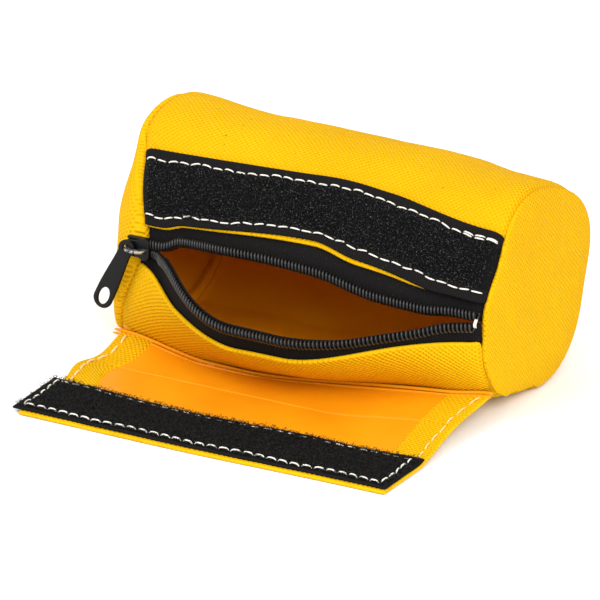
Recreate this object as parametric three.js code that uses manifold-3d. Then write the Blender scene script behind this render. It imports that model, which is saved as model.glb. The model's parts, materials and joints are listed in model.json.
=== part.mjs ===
// A barrel-shaped treat pouch lying on its side, zip mouth open to the front and cover flap folded down flat.
// Millimetres. X runs along the barrel, -Y is the front with the zip, +Z is up.
// The origin is on the surface that the pouch rests on, under the middle of the barrel.
import * as THREE from "three";
import { mergeVertices } from "three/addons/utils/BufferGeometryUtils.js";
import Module from "manifold-3d";

const wasm = await Module();
wasm.setup();

// Driving dimensions
const BODY_LENGTH = 138; // between the two end seams
const HALF_DEPTH = 38.5; // barrel's half size front to back
const HALF_HEIGHT = 36; // barrel's half size up and down
const FLATTENED = 1.5; // how far the bottom is pressed flat by the table
const CLOTH = 1.6; // woven fabric with its coating and turnings
const END_THICKNESS = 3.2; // domed end panel
const GAP = 0.3; // clearance between neighbouring solids

const TAPE_WIDTH = 25; // hook tape and loop tape
const HOOK_THICKNESS = 1.8;
const HOOK_START_DEG = 21; // lower edge of the hook strip, measured up from the barrel's front
const PANEL_EDGE_DEG = 18.5; // folded edge of the main panel above the zip

const ZIP_HEIGHT = 39;
const COIL_RADIUS = 1.3;
const COIL_SPACING = 3.2; // between the centres of the two closed coils
const COIL_FRONT = -37.5; // y of the coils' centres
const COIL_END = 65; // half length of the coils
const ZIP_TAPE = 0.8; // thickness of the woven zip tape
const ZIP_TAPE_OFFSET = -2.4; // tape's middle, measured outwards from the barrel's face

const TAPE_TUCK = 4; // how far the lower zip tape runs on behind its panel's folded edge
const TAPE_TUCK_DEG = 5; // the same for the upper zip tape, round the barrel
const TACK_RADIUS = 0.7; // thread tack that closes the zip's right end
const TACK_REACH = 1; // tack's length beyond the coils' spacing
const TACK_PLACE = 1.2; // tack's middle, beyond the coils' ends

const SEAM = new THREE.Vector2(-34.6, 5); // flap seam, as y and z
const TOE = 8; // from the flat bottom's front edge to the flap seam
const LIP_EDGE = new THREE.Vector2(-38.4, 32); // folded edge of the lower front panel, closed
const LIP_FULLEST = new THREE.Vector2(-44, 19); // where the closed panel's curve is drawn towards
const LIP_OPEN_DEG = 46; // how far the lower lip leans out at its widest
const MOUTH_LEFT = -54; // where the lip starts to open, beside the slider
const MOUTH_RIGHT = 70;
const MOUTH_MIDDLE = 2; // widest place of the mouth

const FLAP_WIDTH = 140;
const FLAP_HINGE = -36; // y of the flap's turning line
const FLAP_BEND = -72.5; // y of the bend in front of the loop strip
const FLAP_EDGE = -103.5; // y of the flap's free edge
const FLAP_CLOTH = 1.2; // single cloth of the flap
const HEM_THICKNESS = 2; // folded cloth at the hems
const HEM_WIDTH = 13;
const LOOP_THICKNESS = 1.8;
const LOOP_START = -73.6; // y of the loop strip's edge next to the bend
const LOOP_SIDE_MARGIN = 0.5; // from the flap's side edge to the loop strip's end

const SLIDER_X = -61; // slider with the zip open
const SLIDER_LENGTH = 11;
const SLIDER_WIDTH = 9;
const SLIDER_WAIST = 1.2; // how much narrower its closed side is, at each edge
const SLIDER_CORNER = 1;
const SLIDER_BROAD_CORNER = 1.5;
const SLIDER_SHOULDER = 2; // where it starts to broaden, from its middle
const SLIDER_PLATE = 1.2; // front plate's thickness
const SLIDER_BACK_PLATE = 1;
const DIVIDER_LENGTH = 3;
const DIVIDER_WIDTH = 0.25;
const DIVIDER_PLACE = 2; // divider's middle, from the slider's open end
const SUNK = 0.2; // how far joined blocks run into each other
const PULL_LENGTH = 24; // from the bridge foot to the pull's round end, less its radius
const PULL_WIDTH = 8.4;
const PULL_THICKNESS = 1.2;
const PULL_TILT_DEG = 25; // how far the hanging pull leans to the left
const PULL_CLEARANCE = 0.4; // between the pull and the slider's front plate
const PULL_RING = 3; // ring round the bridge foot
const PULL_RING_HOLE = 1.75;
const PULL_NECK = 2.7; // half width where the body leaves the ring
const PULL_NECK_END = 5; // below the foot
const PULL_SHOULDER = 8;
const PULL_FULL_WIDTH = 11; // below this, the pull has its whole width
const PULL_HOLE = new THREE.Vector2(2.7, 4.6); // half width and half length of the oval hole
const PULL_HOLE_RISE = 2; // hole's middle above the middle of the round end

const THREAD_RADIUS = 0.35;
const THREAD_LIFT = 0.1; // clearance under a row of thread
const SEAM_THREAD = new THREE.Vector2(0.6, 2); // seam stitching behind the flap's hinge and below the seam
const STITCH_INSET = 3; // from a tape's edge to its stitch row
const HEM_INSET = 4; // from the flap's side edge to its hem's stitch row

// How finely bends are drawn
const BARREL_STEPS = 72; // round the main panel
const RIM_STEPS = 60; // round an end panel
const LIP_STEPS = 28; // along the lower lip
const LIP_HEIGHT_STEPS = 8; // up the lower lip
const HOOK_STEPS = 10; // across the hook strip
const TAPE_STEPS = 5; // across the upper zip tape
const COIL_SIDES = 8;
const THREAD_SIDES = 6;

const centreHeight = HALF_HEIGHT - FLATTENED;
const flatHalfWidth = HALF_DEPTH * Math.sqrt(1 - (centreHeight / HALF_HEIGHT) ** 2);
const radians = THREE.MathUtils.degToRad;

// Materials
const saffron = () => new THREE.MeshStandardMaterial({ color: 0xf8ad10, roughness: 0.85, metalness: 0 });
const blackWeave = () => new THREE.MeshStandardMaterial({ color: 0x161514, roughness: 0.95, metalness: 0 });
const blackCoil = () => new THREE.MeshStandardMaterial({ color: 0x121212, roughness: 0.5, metalness: 0 });
const blackEnamel = () => new THREE.MeshStandardMaterial({ color: 0x0e0e0f, roughness: 0.35, metalness: 0.6 });
const whiteThread = () => new THREE.MeshStandardMaterial({ color: 0xe8e2d2, roughness: 0.9, metalness: 0 });

const pouch = new THREE.Group();

function add(name, geometry, material, parent = pouch) {
  const mesh = new THREE.Mesh(geometry, material);
  mesh.name = name;
  parent.add(mesh);
  return mesh;
}

// Evenly spaced points beside a flat curve, offset to the left of its direction.
function offsetPoints(curve, offset, steps) {
  return Array.from({ length: steps + 1 }, (_, i) => {
    const tangent = curve.getTangentAt(i / steps);
    const point = curve.getPointAt(i / steps);
    return new THREE.Vector2(point.x - tangent.y * offset, point.y + tangent.x * offset);
  });
}

// A closed band that follows a flat curve, between two offsets to the left of its direction.
function bandShape(curve, inner, outer, steps) {
  const back = offsetPoints(curve, inner, steps).reverse();
  return new THREE.Shape([...offsetPoints(curve, outer, steps), ...back]);
}

// A shape drawn in (y, z) and extruded along X, centred on the barrel's middle.
function alongBarrel(shape, length, steps = 1) {
  const geometry = new THREE.ExtrudeGeometry(shape, { depth: length, bevelEnabled: false, steps });
  return standUp(geometry).translate(-length / 2, 0, 0);
}

// Turns a geometry drawn in (y, z, x) into the part's axes.
function standUp(geometry) {
  const axes = [new THREE.Vector3(0, 1, 0), new THREE.Vector3(0, 0, 1), new THREE.Vector3(1, 0, 0)];
  return geometry.applyMatrix4(new THREE.Matrix4().makeBasis(...axes));
}

// Barrel outline between two angles measured up from its front, running over the top.
function barrelArc(fromDeg, toDeg) {
  const start = Math.PI - radians(fromDeg);
  const end = Math.PI - radians(toDeg);
  return new THREE.EllipseCurve(0, centreHeight, HALF_DEPTH, HALF_HEIGHT, start, end, true);
}

function barrelPoint(deg, offset) {
  const y = -(HALF_DEPTH + offset) * Math.cos(radians(deg));
  const z = centreHeight + (HALF_HEIGHT + offset) * Math.sin(radians(deg));
  return new THREE.Vector2(y, z);
}

const bottomBackDeg = 180 + THREE.MathUtils.radToDeg(Math.asin(centreHeight / HALF_HEIGHT));

// Flat bottom and the rounded toe that rises to the flap seam.
function bottomPath(path) {
  const toeStart = new THREE.Vector2(SEAM.x + TOE, 0);
  const toeEnd = new THREE.Vector2(SEAM.x, SEAM.y - GAP);
  path.add(new THREE.LineCurve(new THREE.Vector2(flatHalfWidth, 0), toeStart));
  path.add(new THREE.QuadraticBezierCurve(toeStart, new THREE.Vector2(SEAM.x, 0), toeEnd));
  return path;
}

function mainPanel() {
  const path = new THREE.CurvePath();
  path.add(barrelArc(PANEL_EDGE_DEG, bottomBackDeg));
  return alongBarrel(bandShape(bottomPath(path), -CLOTH, 0, BARREL_STEPS), BODY_LENGTH);
}

// End panel: the barrel's whole outline with a rounded rim. side is -1 on the left and 1 on the right.
function endPanel(side) {
  const rim = 1.2;
  const path = new THREE.CurvePath();
  path.add(barrelArc(0, bottomBackDeg));
  bottomPath(path).add(new THREE.LineCurve(path.getPoint(1), path.getPoint(0)));
  const shape = new THREE.Shape(offsetPoints(path, -rim, RIM_STEPS).slice(0, -1));
  const settings = { depth: END_THICKNESS - 2 * rim, bevelThickness: rim, bevelSize: rim, bevelSegments: 2 };
  const geometry = standUp(new THREE.ExtrudeGeometry(shape, settings));
  geometry.translate(side * (BODY_LENGTH / 2 + GAP + END_THICKNESS / 2) - settings.depth / 2, 0, 0);
  return geometry;
}

// Closed curve of the lower front panel, from the flap seam up to the zip, bulging forwards.
const lipCurve = new THREE.QuadraticBezierCurve(
  new THREE.Vector2(SEAM.x, SEAM.y + GAP),
  LIP_FULLEST,
  LIP_EDGE,
);

function smoothstep(t) {
  const k = THREE.MathUtils.clamp(t, 0, 1);
  return k * k * (3 - 2 * k);
}

// Leans a closed lip geometry out about the flap seam, most at the middle of the mouth.
function openLip(geometry) {
  const position = geometry.attributes.position;
  const point = new THREE.Vector2();
  for (let i = 0; i < position.count; i += 1) {
    const x = position.getX(i);
    const end = x < MOUTH_MIDDLE ? MOUTH_LEFT : MOUTH_RIGHT;
    const share = smoothstep((x - end) / (MOUTH_MIDDLE - end));
    point.set(position.getY(i), position.getZ(i));
    point.rotateAround(SEAM, radians(LIP_OPEN_DEG) * share);
    position.setXYZ(i, x, point.x, point.y);
  }
  geometry.computeVertexNormals();
  return geometry;
}

function lowerFrontPanel() {
  const band = bandShape(lipCurve, -CLOTH, 0, LIP_HEIGHT_STEPS);
  return openLip(alongBarrel(band, BODY_LENGTH - 2 * GAP, LIP_STEPS));
}

function lowerZipTape() {
  const behindCoil = COIL_FRONT + COIL_RADIUS + (GAP + ZIP_TAPE) / 2;
  const top = new THREE.Vector2(behindCoil, ZIP_HEIGHT - GAP);
  const bottom = new THREE.Vector2(LIP_EDGE.x - ZIP_TAPE_OFFSET, LIP_EDGE.y - TAPE_TUCK);
  const band = bandShape(new THREE.LineCurve(bottom, top), -ZIP_TAPE / 2, ZIP_TAPE / 2, 2);
  return openLip(alongBarrel(band, BODY_LENGTH - 2 * GAP, LIP_STEPS));
}

function upperZipTape() {
  const inner = ZIP_TAPE_OFFSET - ZIP_TAPE / 2;
  const rise = (ZIP_HEIGHT + GAP - centreHeight) / (HALF_HEIGHT + inner);
  const arc = barrelArc(THREE.MathUtils.radToDeg(Math.asin(rise)), HOOK_START_DEG + TAPE_TUCK_DEG);
  return alongBarrel(bandShape(arc, inner, inner + ZIP_TAPE, TAPE_STEPS), BODY_LENGTH - 2 * GAP);
}

// side is 1 for the upper coil and -1 for the lower one.
function zipCoil(side, steps) {
  const shape = new THREE.Shape();
  shape.absarc(COIL_FRONT, ZIP_HEIGHT + (side * COIL_SPACING) / 2, COIL_RADIUS, 0, 2 * Math.PI);
  const settings = { depth: 2 * COIL_END, bevelEnabled: false, steps, curveSegments: COIL_SIDES };
  return standUp(new THREE.ExtrudeGeometry(shape, settings)).translate(-COIL_END, 0, 0);
}

const hookArc = TAPE_WIDTH / ((HALF_DEPTH + HALF_HEIGHT) / 2);
const hookEndDeg = HOOK_START_DEG + THREE.MathUtils.radToDeg(hookArc);

function hookStrip() {
  const arc = barrelArc(HOOK_START_DEG, hookEndDeg);
  return alongBarrel(bandShape(arc, GAP, GAP + HOOK_THICKNESS, HOOK_STEPS), BODY_LENGTH - 2 * GAP);
}

// Straight row of thread along X through the point (y, z).
function threadAlongX(length, y, z) {
  const geometry = new THREE.CylinderGeometry(THREAD_RADIUS, THREAD_RADIUS, length, THREAD_SIDES);
  return geometry.rotateZ(Math.PI / 2).translate(0, y, z);
}

function hookStitching(deg) {
  const at = barrelPoint(deg, GAP + HOOK_THICKNESS + THREAD_RADIUS + THREAD_LIFT);
  return threadAlongX(BODY_LENGTH - 2 * STITCH_INSET, at.x, at.y);
}

function zipEndTack() {
  const tack = new THREE.CapsuleGeometry(TACK_RADIUS, COIL_SPACING + TACK_REACH, 3, COIL_SIDES);
  return tack.rotateX(Math.PI / 2).translate(COIL_END + TACK_PLACE, COIL_FRONT, ZIP_HEIGHT);
}

// A flat panel drawn in (x, y) and lying between two heights.
function slab(shape, bottom, top) {
  const geometry = new THREE.ExtrudeGeometry(shape, { depth: top - bottom, bevelEnabled: false });
  return geometry.translate(0, 0, bottom);
}

function rectangle(left, right, front, back) {
  const shape = new THREE.Shape();
  shape.moveTo(left, front).lineTo(right, front).lineTo(right, back).lineTo(left, back).closePath();
  return shape;
}

// Lower length of the flap: single cloth in the middle and a folded hem at each side.
function flapLower() {
  const half = FLAP_WIDTH / 2;
  const hem = half - HEM_WIDTH;
  const profile = new THREE.Shape();
  profile.moveTo(-half, 0).lineTo(half, 0).lineTo(half, HEM_THICKNESS).lineTo(hem, HEM_THICKNESS);
  profile.lineTo(hem, FLAP_CLOTH).lineTo(-hem, FLAP_CLOTH).lineTo(-hem, HEM_THICKNESS);
  profile.lineTo(-half, HEM_THICKNESS).closePath();
  const start = FLAP_HINGE - 1;
  const depth = start - (FLAP_BEND + GAP);
  const geometry = new THREE.ExtrudeGeometry(profile, { depth, bevelEnabled: false });
  return geometry.rotateX(Math.PI / 2).translate(0, start, 0);
}

function flapUpper() {
  const half = FLAP_WIDTH / 2;
  return slab(rectangle(-half, half, FLAP_EDGE, FLAP_BEND - GAP), 0, HEM_THICKNESS);
}

const loopBottom = HEM_THICKNESS + GAP;
const loopTop = loopBottom + LOOP_THICKNESS;

function loopStrip() {
  const half = FLAP_WIDTH / 2 - LOOP_SIDE_MARGIN;
  return slab(rectangle(-half, half, LOOP_START - TAPE_WIDTH, LOOP_START), loopBottom, loopTop);
}

// Stitching that runs right round the loop strip.
function loopStitching() {
  const half = FLAP_WIDTH / 2 - STITCH_INSET;
  const front = LOOP_START - TAPE_WIDTH + STITCH_INSET;
  const back = LOOP_START - STITCH_INSET;
  const ring = rectangle(-half, half, front, back);
  const width = 2 * THREAD_RADIUS;
  ring.holes.push(rectangle(-half + width, half - width, front + width, back - width));
  return slab(ring, loopTop + THREAD_LIFT, loopTop + THREAD_LIFT + THREAD_RADIUS);
}

// Row of thread along a side hem. side is -1 on the left and 1 on the right.
function hemStitching(side) {
  const start = FLAP_HINGE - 3;
  const end = FLAP_BEND + 1;
  const geometry = new THREE.CylinderGeometry(THREAD_RADIUS, THREAD_RADIUS, start - end, THREAD_SIDES);
  const x = side * (FLAP_WIDTH / 2 - HEM_INSET);
  return geometry.translate(x, (start + end) / 2, HEM_THICKNESS + THREAD_RADIUS + THREAD_LIFT);
}

// manifold-3d joins the slider's plates and bridge into one casting.
function toSolid(geometry) {
  const bare = geometry.clone();
  bare.deleteAttribute("normal");
  bare.deleteAttribute("uv");
  const merged = mergeVertices(bare, 1e-4);
  const vertProperties = new Float32Array(merged.attributes.position.array);
  const triVerts = new Uint32Array(merged.index.array);
  return new wasm.Manifold(new wasm.Mesh({ numProp: 3, vertProperties, triVerts }));
}

function toGeometry(solid) {
  const mesh = solid.getMesh();
  const geometry = new THREE.BufferGeometry();
  geometry.setAttribute("position", new THREE.BufferAttribute(new Float32Array(mesh.vertProperties), 3));
  geometry.setIndex(new THREE.BufferAttribute(new Uint32Array(mesh.triVerts), 1));
  geometry.computeVertexNormals();
  return geometry;
}

// Depths of the slider's layers, as y: the coils run between the back plate and the front plate.
const backPlateInner = -HALF_DEPTH - ZIP_TAPE_OFFSET + ZIP_TAPE / 2 + 1.8;
const frontPlateInner = COIL_FRONT - COIL_RADIUS - PULL_CLEARANCE;
const frontPlateFace = frontPlateInner - SLIDER_PLATE;
const bridgeUnder = frontPlateFace - PULL_THICKNESS - 0.8;
const bridgeFace = bridgeUnder - 1;
const FOOT_X = 3.2; // distance of each bridge foot from the slider's middle
const FOOT_LENGTH = 1.6;
const FOOT_WIDTH = 2.2;

// Shield outline of a slider plate in (x, z): broad at the open side, narrower at the closed side.
function sliderOutline() {
  const half = SLIDER_LENGTH / 2;
  const broad = SLIDER_WIDTH / 2;
  const narrow = broad - SLIDER_WAIST;
  const corner = half - SLIDER_BROAD_CORNER;
  const shape = new THREE.Shape();
  shape.moveTo(-half + SLIDER_CORNER, -narrow).lineTo(0, -narrow);
  shape.quadraticCurveTo(SLIDER_SHOULDER, -broad, corner, -broad);
  shape.quadraticCurveTo(half, -broad, half, -broad + SLIDER_BROAD_CORNER);
  shape.lineTo(half, broad - SLIDER_BROAD_CORNER).quadraticCurveTo(half, broad, corner, broad);
  shape.quadraticCurveTo(SLIDER_SHOULDER, broad, 0, narrow).lineTo(-half + SLIDER_CORNER, narrow);
  shape.quadraticCurveTo(-half, narrow, -half, narrow - SLIDER_CORNER).lineTo(-half, -narrow + SLIDER_CORNER);
  shape.quadraticCurveTo(-half, -narrow, -half + SLIDER_CORNER, -narrow);
  return shape;
}

// A plate drawn in (x, z) about the slider's middle, between two depths.
function facingPlate(shape, front, back) {
  const settings = { depth: back - front, bevelEnabled: false, curveSegments: 4 };
  const geometry = new THREE.ExtrudeGeometry(shape, settings);
  return geometry.rotateX(Math.PI / 2).translate(0, back, 0);
}

function block(x, front, back, length, width) {
  return new THREE.BoxGeometry(length, back - front, width).translate(x, (front + back) / 2, 0);
}

function sliderBody() {
  const outline = sliderOutline();
  const bridgeLength = 2 * FOOT_X + FOOT_LENGTH;
  const dividerX = SLIDER_LENGTH / 2 - DIVIDER_PLACE;
  const foot = [bridgeUnder - SUNK, frontPlateFace + SUNK, FOOT_LENGTH, FOOT_WIDTH];
  const pieces = [
    facingPlate(outline, frontPlateFace, frontPlateInner),
    facingPlate(outline, backPlateInner, backPlateInner + SLIDER_BACK_PLATE),
    block(dividerX, frontPlateInner - SUNK, backPlateInner + SUNK, DIVIDER_LENGTH, DIVIDER_WIDTH),
    block(-FOOT_X, ...foot),
    block(FOOT_X, ...foot),
    block(0, bridgeFace, bridgeUnder, bridgeLength, FOOT_WIDTH),
  ];
  const solid = pieces.map(toSolid).reduce((whole, piece) => whole.add(piece));
  return toGeometry(solid);
}

// Pull: a ring round the bridge's left foot, a tapered neck and a wide body with an oval hole.
// Drawn hanging straight down from the foot's middle.
function pullTab() {
  const half = PULL_WIDTH / 2;
  const endMiddle = 1 - PULL_LENGTH;
  const shape = new THREE.Shape();
  shape.absarc(0, 0, PULL_RING, radians(-20), radians(200));
  shape.lineTo(-PULL_NECK, -PULL_NECK_END).quadraticCurveTo(-half, -PULL_SHOULDER, -half, -PULL_FULL_WIDTH);
  shape.lineTo(-half, endMiddle).absarc(0, endMiddle, half, Math.PI, 2 * Math.PI);
  shape.lineTo(half, -PULL_FULL_WIDTH).quadraticCurveTo(half, -PULL_SHOULDER, PULL_NECK, -PULL_NECK_END);
  shape.closePath();
  const footHole = new THREE.Path().absarc(0, 0, PULL_RING_HOLE, 0, 2 * Math.PI, true);
  const holeMiddle = endMiddle + PULL_HOLE_RISE;
  const ovalHole = new THREE.Path().absellipse(0, holeMiddle, PULL_HOLE.x, PULL_HOLE.y, 0, 2 * Math.PI, true);
  shape.holes.push(footHole, ovalHole);
  const back = frontPlateFace - PULL_CLEARANCE;
  return facingPlate(shape, back - PULL_THICKNESS, back);
}

// Body
add("main_panel", mainPanel(), saffron());
add("end_panel_left", endPanel(-1), saffron());
add("end_panel_right", endPanel(1), saffron());
add("hook_strip", hookStrip(), blackWeave());
const stitchDeg = THREE.MathUtils.radToDeg((hookArc * STITCH_INSET) / TAPE_WIDTH);
add("hook_stitching_lower", hookStitching(HOOK_START_DEG + stitchDeg), whiteThread());
add("hook_stitching_upper", hookStitching(hookEndDeg - stitchDeg), whiteThread());
const seamThread = threadAlongX(BODY_LENGTH - 4, FLAP_HINGE + SEAM_THREAD.x, SEAM.y - SEAM_THREAD.y);
add("flap_seam_stitching", seamThread, whiteThread());

// Zip
add("zip_tape_upper", upperZipTape(), blackWeave());
add("zip_coil_upper", zipCoil(1, 1), blackCoil());
add("zip_end_tack", zipEndTack(), whiteThread());
add("lower_front_panel", lowerFrontPanel(), saffron());
add("zip_tape_lower", lowerZipTape(), blackWeave());
add("zip_coil_lower", openLip(zipCoil(-1, LIP_STEPS)), blackCoil());

const slider = new THREE.Group();
slider.position.set(SLIDER_X, 0, ZIP_HEIGHT);
pouch.add(slider);
add("slider_body", sliderBody(), blackEnamel(), slider);
const pull = add("pull_tab", pullTab(), blackEnamel(), slider);
pull.position.x = -FOOT_X;
pull.rotation.y = radians(PULL_TILT_DEG);

// Cover flap, lying open
add("flap_lower", flapLower(), saffron());
add("flap_hem_stitching_left", hemStitching(-1), whiteThread());
add("flap_hem_stitching_right", hemStitching(1), whiteThread());
add("flap_upper", flapUpper(), saffron());
add("loop_strip", loopStrip(), blackWeave());
add("loop_strip_stitching", loopStitching(), whiteThread());

export default pouch;
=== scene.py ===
"""Treat pouch: woven fabric, hook-and-loop tapes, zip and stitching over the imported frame.

Lengths are millimetres until a mesh is made. X runs along the barrel, -Y is the front and +Z is up. Angles on
the barrel are degrees, measured up from its front and over the top.
"""
import json
import math

import bmesh
import bpy
import numpy as np
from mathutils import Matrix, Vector, noise


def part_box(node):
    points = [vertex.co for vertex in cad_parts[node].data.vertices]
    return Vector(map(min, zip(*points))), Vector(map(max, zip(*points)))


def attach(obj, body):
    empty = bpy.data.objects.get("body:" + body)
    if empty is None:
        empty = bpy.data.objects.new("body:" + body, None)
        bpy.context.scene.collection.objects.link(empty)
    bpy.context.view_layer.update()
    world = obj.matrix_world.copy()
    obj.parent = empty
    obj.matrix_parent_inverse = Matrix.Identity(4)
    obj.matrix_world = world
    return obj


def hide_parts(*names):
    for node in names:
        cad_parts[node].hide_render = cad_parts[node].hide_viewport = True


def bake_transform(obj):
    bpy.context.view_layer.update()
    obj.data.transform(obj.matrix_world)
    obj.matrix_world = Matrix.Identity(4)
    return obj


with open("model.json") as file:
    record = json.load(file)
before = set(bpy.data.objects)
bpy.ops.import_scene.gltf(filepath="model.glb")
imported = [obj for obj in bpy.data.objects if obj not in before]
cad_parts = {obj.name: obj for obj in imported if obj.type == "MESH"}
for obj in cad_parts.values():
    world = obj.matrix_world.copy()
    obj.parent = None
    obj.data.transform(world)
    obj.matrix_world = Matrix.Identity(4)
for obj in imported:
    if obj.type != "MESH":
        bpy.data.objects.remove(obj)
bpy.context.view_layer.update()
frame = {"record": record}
MM = 0.001
rng = np.random.default_rng(11)

JOINTS = {joint["name"]: joint for joint in frame["record"]["behaviour"]["joints"]}
RATIOS = {pair["joint"]: pair["ratio"] for pair in frame["record"]["behaviour"]["couplings"]}


def node_box(name):
    low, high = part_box(name)
    return np.array(low) / MM, np.array(high) / MM


def turning_line(joint):
    """The y and z of a hinge that runs along X."""
    return np.array(JOINTS[joint]["pos_m"][1:]) / MM


# Sizes taken from the frame
MAIN_HIGH = node_box("main_panel")[1]
FLAP_LOW, FLAP_HIGH = node_box("flap_upper")
LOOP_LOW, LOOP_HIGH = node_box("loop_strip")
SLIDER_LOW, SLIDER_HIGH = node_box("slider_body")
COIL_LOW, COIL_HIGH = node_box("zip_coil_upper")
FLATTENED = 1.5  # how much of the round section the table takes away
HALF_LENGTH = MAIN_HIGH[0]
HALF_DEPTH = MAIN_HIGH[1]
HALF_HEIGHT = (MAIN_HIGH[2] + FLATTENED) / 2
CENTRE = HALF_HEIGHT - FLATTENED
SEAM = turning_line("lip_turn")
HINGE = turning_line("flap_seam_turn")
BEND = turning_line("flap_bend_turn")
LIP_OPEN = RATIOS["lip_turn"] * JOINTS["zip_slide"]["range_m"][1]
ZIP_HEIGHT = (SLIDER_LOW[2] + SLIDER_HIGH[2]) / 2
FLAP_HALF = FLAP_HIGH[0]
FLAP_EDGE = FLAP_LOW[1]

# Sizes of the cloth and trimmings
CLOTH = 1.5
TABLE_GAP = 0.15  # lowest the cloth lies above the table
TAPE_WIDTH = 25.0
COIL_SPACING = 3.2  # between the two coils of the shut zip
ZIP_RISE = 3.2
STITCH_PITCH = 4.3
THREAD = 0.28
MOUTH_MIDDLE = 2.0
MOUTH_LEFT = (-73.5, -12.0)  # where the lip's turn starts, and where it is whole
MOUTH_RIGHT = (80.0, 4.0)


def smooth(t):
    t = np.clip(t, 0.0, 1.0)
    return t * t * (3.0 - 2.0 * t)


def rising(t, start, length):
    """From 0 to 1 over a length, smoothly."""
    return smooth((t - start) / length)


def hump(t, centre, width):
    return np.exp(-(((t - centre) / width) ** 2))


def wrapped(angle):
    """The same angle between -180 and 180."""
    return (np.asarray(angle, float) + 180.0) % 360.0 - 180.0


def unit(vectors):
    return vectors / np.maximum(np.linalg.norm(vectors, axis=-1, keepdims=True), 1e-9)


def crumple(points, scale, seed):
    """Smooth noise from -1 to 1 at each point, with features about scale across."""
    flat = np.asarray(points, float).reshape(-1, 3) / scale
    values = [noise.noise(Vector(p) + Vector((seed, 0.0, 0.0))) for p in flat]
    return np.array(values).reshape(np.shape(points)[:-1])


def way_along(points):
    """Distance of each point from the first one, along the line through them all."""
    return np.concatenate([[0.0], np.cumsum(np.linalg.norm(np.diff(points, axis=0), axis=-1))])


def rows_and_columns(along, across):
    """The two distances at each point of a grid."""
    return np.broadcast_arrays(along[:, None], across[None])


def cloth_uv(along, across):
    return np.stack(rows_and_columns(along, across), -1)


# --- The barrel's shape ---


def ellipse(angle):
    """Point, outward normal and forward tangent of the barrel's section, as (y, z)."""
    a = np.radians(angle)
    point = np.stack([-HALF_DEPTH * np.cos(a), CENTRE + HALF_HEIGHT * np.sin(a)], -1)
    normal = unit(np.stack([-HALF_HEIGHT * np.cos(a), HALF_DEPTH * np.sin(a)], -1))
    tangent = unit(np.stack([HALF_DEPTH * np.sin(a), HALF_HEIGHT * np.cos(a)], -1))
    return point, normal, tangent


# Barrel angle, height and width of each soft corner of the cloth near the right end
CORNERS = ((5, 1.5, 22), (72, 3.6, 24), (155, 1.8, 26), (247, 1.0, 20), (190, -3.8, 26), (36, -2.0, 16))


def fullness(x, angle):
    """How far the stuffed cloth stands out from the plain barrel."""
    along = 1.0 - 0.8 * rising(x, 15, 58)
    round_the_top = rising(angle, 38, 52) * (1.0 - rising(angle, 155, 60))
    corners = sum(height * hump(wrapped(angle - at), 0, width) for at, height, width in CORNERS)
    near_right = rising(x, 20, 45)
    near_left = rising(-x, 35, 34)
    left_corner = 2.6 * hump(angle, 112, 28) * near_left
    return 5.2 * along * round_the_top + corners * near_right + left_corner


ROLL_DEPTH = 3.6
ROLL_LENGTH = 4.6


def roll_in(x, angle=0.0):
    """The cloth turns in to the seam over its last few millimetres, and most of all underneath."""
    t = np.clip(1.0 - (HALF_LENGTH - np.abs(x)) / ROLL_LENGTH, 0.0, 1.0)
    depth = ROLL_DEPTH * (1.0 + 0.45 * hump(wrapped(angle), -85, 45))
    return depth * (1.0 - np.sqrt(1.0 - t * t))


def zip_rise(x):
    """The zip line arches upwards a little, left of its middle, and dips right of it."""
    arch = ZIP_RISE * hump(x, -18, 40) + 1.2 * hump(x, -50, 14)
    dip = 2.6 * rising(x, 5, 25) * (1.0 - 0.65 * rising(x, 46, 14))
    return arch * smooth((x + HALF_LENGTH - 8.0) / 10.0) - dip


def pinch(x, angle):
    """The left end is drawn in beside the slider, and leans out over it at the top."""
    drawn_in = 8.5 * hump(wrapped(angle), 12, 30)
    leaning = 5.0 * rising(angle, 50, 28) * (1.0 - rising(angle, 150, 60))
    low_corner = 3.2 * hump(wrapped(angle), -40, 24)
    return (drawn_in - leaning - low_corner) * rising(-x, 25, 44)


def seam_height(x):
    """How far the flap seam lies above or below its turning line."""
    return -3.6 + 5.2 * rising(-x, 35, 35) + 9.0 * rising(x, -25, 95)


def corner_in(x):
    """How far back the right end of the flap seam is drawn in, where it meets the end panel."""
    return 4.2 * rising(x, 50, 19) ** 2


def dressed(x, section, angle, proud):
    """Places a section's point, normal and tangent at x, with the cloth's fullness, rise, pinch and seams.

    Cloth that would go below the table settles on it.
    """
    point, normal, tangent = section
    x, angle = np.broadcast_arrays(np.asarray(x, float), np.asarray(angle, float))
    rise = zip_rise(x) * (1.0 - rising(angle, 10, 25))
    roll = roll_in(x, angle)
    at_seam = rising(angle, 300, 18)
    out = proud + fullness(x, angle) - roll * (1.0 - at_seam)
    yz = point + normal * out[..., None] + tangent * rise[..., None]
    above = yz[..., 1] - TABLE_GAP
    z = TABLE_GAP + 0.5 * (above + np.sqrt(above**2 + 0.3))
    back = roll * at_seam + corner_in(x) * rising(angle, 288, 28)
    return np.stack([x + pinch(x, angle), yz[..., 0] + back, z], -1)


def on_barrel(x, angle, proud=0.0):
    return dressed(x, ellipse(angle), angle, proud)


def bottom_curve(steps):
    """The bottom from under the barrel's middle to the flap seam: points, normals and tangents."""
    t = np.linspace(0.0, 1.0, steps + 1)[1:]
    toe = rising(t, 0.55, 0.45) ** 1.6
    y = SEAM[0] * (1.0 - (1.0 - t) ** 1.25)
    z = SEAM[1] * toe
    point = np.stack([y, z], -1)
    tangent = unit(np.gradient(point, axis=0))
    normal = np.stack([-tangent[:, 1], tangent[:, 0]], -1)
    return point, normal, tangent


def hook_low(x):
    """Barrel angle of the hook strip's lower edge."""
    wave = 7.0 * hump(x, -6, 30) * (1.0 - rising(x, 3, 18)) + 5.0 * hump(x, 24, 28)
    return 20.3 - 3.3 * rising(x, 10, 50) + wave


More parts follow.
